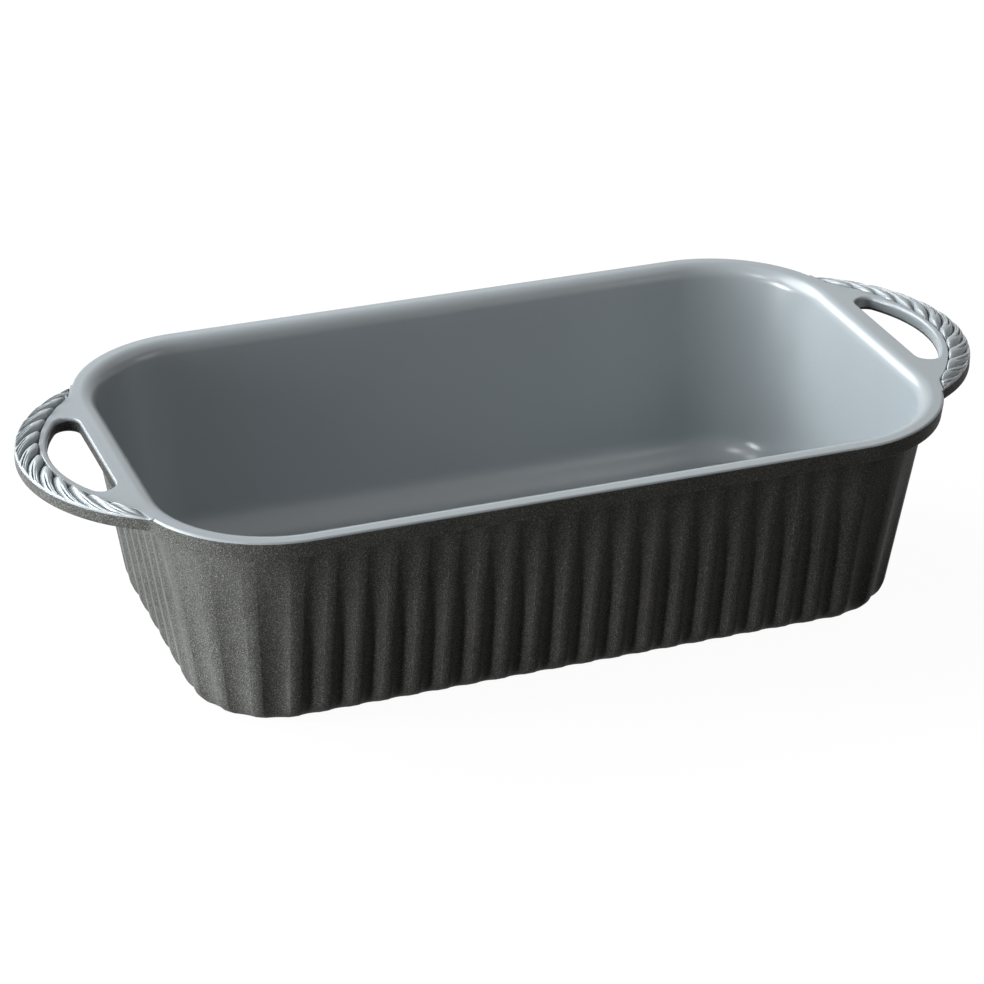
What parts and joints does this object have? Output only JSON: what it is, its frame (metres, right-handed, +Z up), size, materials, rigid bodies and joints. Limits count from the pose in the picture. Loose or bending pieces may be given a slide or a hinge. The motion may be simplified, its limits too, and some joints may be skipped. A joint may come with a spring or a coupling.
{
  "type": "loaf pan",
  "caption": "Rectangular cast loaf pan with fluted outer walls, a flat rim, a smooth non-stick cavity and a rope-edged loop handle at each end.",
  "frame": {"origin": "middle of the base, on the surface that the pan stands on", "axes": "+Z up out of the mouth, X along the pan through both handles, Y across it"},
  "size_m": [0.298, 0.1464, 0.0682],
  "materials": {
    "textured_coat": "fine speckled dark grey coat, matt",
    "rim_coat": "smooth satin grey on top, speckled dark grey on the side",
    "smooth_coat": "smooth satin blue grey non-stick coat",
    "handle_coat": "smooth satin grey on top, speckled dark grey on the side",
    "rope_coat": "smooth satin blue grey coat"
  },
  "bodies": {
    "root": {"tub_casting": "textured_coat", "rim_flange": "rim_coat", "nonstick_lining": "smooth_coat", "left_handle": "handle_coat", "right_handle": "handle_coat", "left_rope_moulding": "rope_coat", "right_rope_moulding": "rope_coat"}
  },
  "joints": []
}
